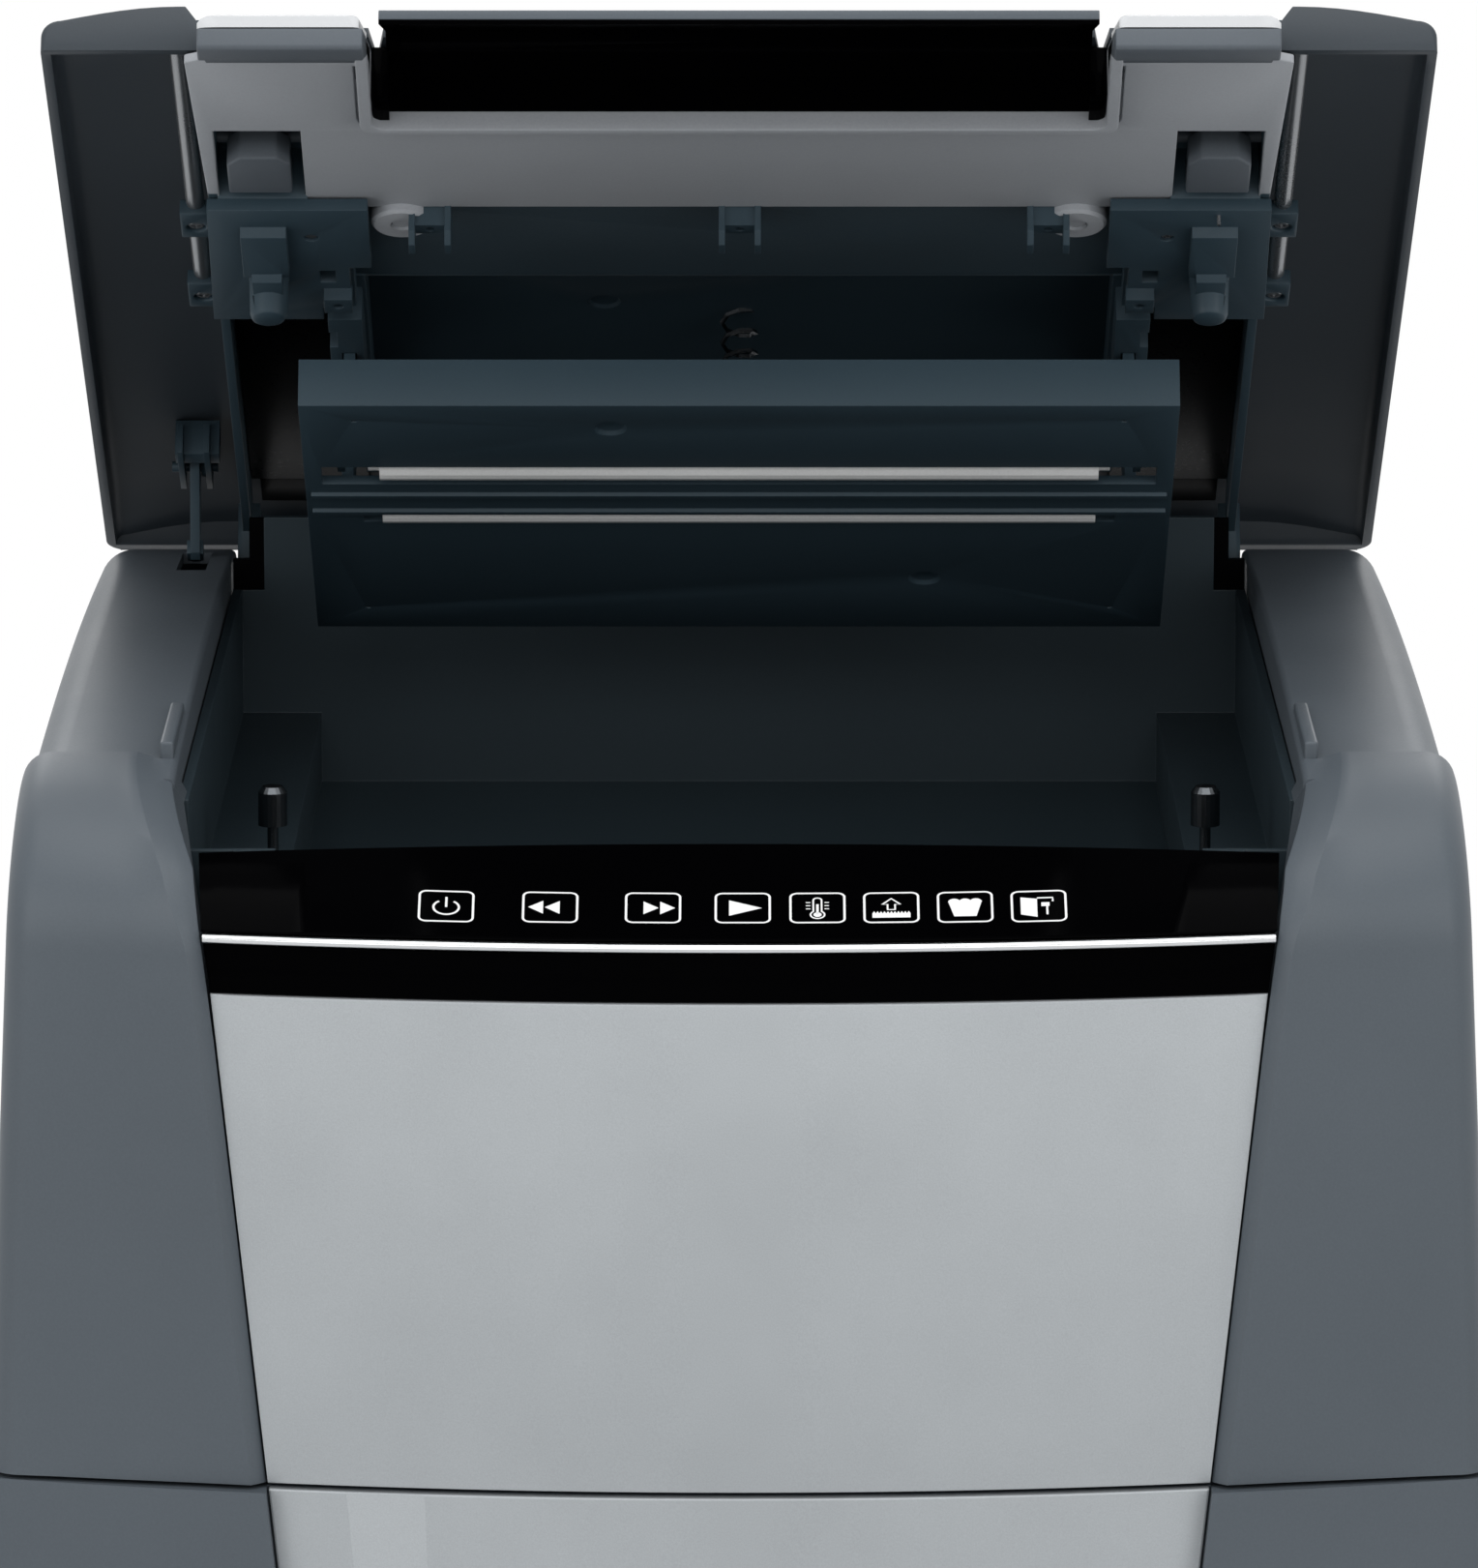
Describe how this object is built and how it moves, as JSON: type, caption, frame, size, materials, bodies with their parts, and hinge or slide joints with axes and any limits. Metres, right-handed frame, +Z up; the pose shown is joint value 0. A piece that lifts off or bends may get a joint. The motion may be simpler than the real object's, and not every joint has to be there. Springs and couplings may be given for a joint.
{
  "type": "paper shredder",
  "caption": "Auto-feed paper shredder on castors with a hinged hollow lid, press plate, paper well, touch panel and pull-out bin, lid open.",
  "frame": {"origin": "on the floor, under the middle of the machine's bounding box with the lid open", "axes": "+X to the machine's right as a person facing it sees it, +Y from the front to the back, +Z up"},
  "size_m": [0.367, 0.4012, 0.7336],
  "materials": {
    "dark_plastic": "satin moulded plastic, dark blue-grey, fine texture",
    "inner_plastic": "matte moulded plastic, blue-black",
    "plate_plastic": "matte moulded plastic, mid grey",
    "silver_paint": "silver paint with a fine grain",
    "black_gloss": "piano-black gloss",
    "chrome": "polished strip",
    "steel": "bright steel",
    "white_plastic": "natural acetal",
    "rubber": "black rubber",
    "circuit_board": "green solder mask"
  },
  "bodies": {
    "root": {"left_housing": "dark_plastic", "right_housing": "dark_plastic", "rear_cover": "dark_plastic", "power_inlet": "inner_plastic", "paper_tray": "inner_plastic", "lock_post_left": "steel", "lock_post_right": "steel", "control_panel": "black_gloss", "chrome_strip": "chrome", "lower_trim_band": "black_gloss", "upper_front_panel": "silver_paint", "head_base": "inner_plastic", "chassis_left": "steel", "chassis_right": "steel", "drive_motor": "steel", "throat_guide_front": "steel", "throat_guide_rear": "steel", "main_board": "circuit_board", "base_cabinet": "dark_plastic", "bin_runner_left": "steel", "bin_runner_right": "steel", "hinge_pin_left": "steel", "hinge_pin_right": "steel"},
    "lid": {"lid_shell": "dark_plastic", "lid_inner_frame": "plate_plastic", "lid_window": "black_gloss", "lid_trim_left": "silver_paint", "lid_trim_right": "silver_paint", "latch_housing_left": "inner_plastic", "latch_housing_right": "inner_plastic", "interlock_arm": "inner_plastic", "press_spring": "steel"},
    "press_plate": {"press_plate": "inner_plastic"},
    "press_roller_front": {"press_roller_front": "white_plastic"},
    "press_roller_rear": {"press_roller_rear": "white_plastic"},
    "latch_left": {"latch_hook_left": "plate_plastic"},
    "latch_right": {"latch_hook_right": "plate_plastic"},
    "drawer": {"bin": "inner_plastic", "bin_fascia": "dark_plastic", "bin_front": "silver_paint", "bin_grip": "inner_plastic"},
    "cutter_rear": {"cutter_rear": "steel", "drive_gear": "steel"},
    "cutter_front": {"cutter_front": "steel", "cutter_gear_front": "steel"},
    "pinion": {"motor_pinion": "steel"},
    "idler": {"idler_gear": "white_plastic"},
    "feed_rear": {"feed_roller_rear": "rubber", "feed_gear_rear": "white_plastic"},
    "feed_front": {"feed_roller_front": "rubber", "feed_gear_front": "white_plastic"},
    "switch": {"switch_rocker": "black_gloss"},
    "castor_front_left": {"castor_fork_front_left": "inner_plastic"},
    "wheel_front_left": {"castor_wheel_front_left": "rubber"},
    "castor_front_right": {"castor_fork_front_right": "inner_plastic"},
    "wheel_front_right": {"castor_wheel_front_right": "rubber"},
    "castor_rear_left": {"castor_fork_rear_left": "inner_plastic"},
    "wheel_rear_left": {"castor_wheel_rear_left": "rubber"},
    "castor_rear_right": {"castor_fork_rear_right": "inner_plastic"},
    "wheel_rear_right": {"castor_wheel_rear_right": "rubber"}
  },
  "joints": [
    {"name": "lid_hinge", "type": "hinge", "parent": "root", "child": "lid", "pos_m": [0, 0.178, 0.528], "axis": [1, 0, 0], "range_deg": [0, 34]},
    {"name": "bin_slide", "type": "slide", "parent": "root", "child": "drawer", "axis": [0, -1, 0], "range_m": [0, 0.3]},
    {"name": "press_plate_slide", "type": "slide", "parent": "lid", "child": "press_plate", "axis": [0, 0.5592, 0.829], "range_m": [0, 0.008], "stiffness_N_per_m": 900, "springref_m": -0.012},
    {"name": "press_roller_front_spin", "type": "hinge", "parent": "press_plate", "child": "press_roller_front", "pos_m": [0, 0.02226, 0.6029], "axis": [1, 0, 0], "continuous": true},
    {"name": "press_roller_rear_spin", "type": "hinge", "parent": "press_plate", "child": "press_roller_rear", "pos_m": [0, 0.04464, 0.5878], "axis": [1, 0, 0], "continuous": true},
    {"name": "latch_left_pivot", "type": "hinge", "parent": "lid", "child": "latch_left", "pos_m": [0, -0.00119, 0.68795], "axis": [1, 0, 0], "range_deg": [0, 14], "stiffness_Nm_per_rad": 0.15, "springref_deg": -11.46},
    {"name": "latch_right_pivot", "type": "hinge", "parent": "lid", "child": "latch_right", "pos_m": [0, -0.00119, 0.68795], "axis": [1, 0, 0], "range_deg": [0, 14], "stiffness_Nm_per_rad": 0.15, "springref_deg": -11.46},
    {"name": "cutter_rear_spin", "type": "hinge", "parent": "root", "child": "cutter_rear", "pos_m": [0, 0.026, 0.43147], "axis": [1, 0, 0], "continuous": true},
    {"name": "cutter_front_spin", "type": "hinge", "parent": "root", "child": "cutter_front", "pos_m": [0, -0.012, 0.43147], "axis": [1, 0, 0], "continuous": true},
    {"name": "pinion_spin", "type": "hinge", "parent": "root", "child": "pinion", "pos_m": [0, 0.0754, 0.43147], "axis": [1, 0, 0], "continuous": true},
    {"name": "idler_spin", "type": "hinge", "parent": "root", "child": "idler", "pos_m": [0, 0.026, 0.45998], "axis": [1, 0, 0], "continuous": true},
    {"name": "feed_rear_spin", "type": "hinge", "parent": "root", "child": "feed_rear", "pos_m": [0, 0.01745, 0.478], "axis": [1, 0, 0], "continuous": true},
    {"name": "feed_front_spin", "type": "hinge", "parent": "root", "child": "feed_front", "pos_m": [0, -0.00345, 0.478], "axis": [1, 0, 0], "continuous": true},
    {"name": "switch_rock", "type": "hinge", "parent": "root", "child": "switch", "pos_m": [0, 0.1915, 0.412], "axis": [1, 0, 0], "range_deg": [0, 8]},
    {"name": "castor_front_left_swivel", "type": "hinge", "parent": "root", "child": "castor_front_left", "pos_m": [-0.15, -0.118, 0.045], "axis": [0, 0, 1], "continuous": true},
    {"name": "castor_front_left_roll", "type": "hinge", "parent": "castor_front_left", "child": "wheel_front_left", "pos_m": [-0.15, -0.106, 0.0175], "axis": [1, 0, 0], "continuous": true},
    {"name": "castor_front_right_swivel", "type": "hinge", "parent": "root", "child": "castor_front_right", "pos_m": [0.15, -0.118, 0.045], "axis": [0, 0, 1], "continuous": true},
    {"name": "castor_front_right_roll", "type": "hinge", "parent": "castor_front_right", "child": "wheel_front_right", "pos_m": [0.15, -0.106, 0.0175], "axis": [1, 0, 0], "continuous": true},
    {"name": "castor_rear_left_swivel", "type": "hinge", "parent": "root", "child": "castor_rear_left", "pos_m": [-0.15, 0.162, 0.045], "axis": [0, 0, 1], "continuous": true},
    {"name": "castor_rear_left_roll", "type": "hinge", "parent": "castor_rear_left", "child": "wheel_rear_left", "pos_m": [-0.15, 0.174, 0.0175], "axis": [1, 0, 0], "continuous": true},
    {"name": "castor_rear_right_swivel", "type": "hinge", "parent": "root", "child": "castor_rear_right", "pos_m": [0.15, 0.162, 0.045], "axis": [0, 0, 1], "continuous": true},
    {"name": "castor_rear_right_roll", "type": "hinge", "parent": "castor_rear_right", "child": "wheel_rear_right", "pos_m": [0.15, 0.174, 0.0175], "axis": [1, 0, 0], "continuous": true}
  ],
  "couplings": [
    {"joint": "cutter_front_spin", "follows": "cutter_rear_spin", "ratio": -1},
    {"joint": "pinion_spin", "follows": "cutter_rear_spin", "ratio": -3.3333},
    {"joint": "idler_spin", "follows": "cutter_rear_spin", "ratio": -2},
    {"joint": "feed_rear_spin", "follows": "cutter_rear_spin", "ratio": 1.8182},
    {"joint": "feed_front_spin", "follows": "cutter_rear_spin", "ratio": -1.8182}
  ]
}
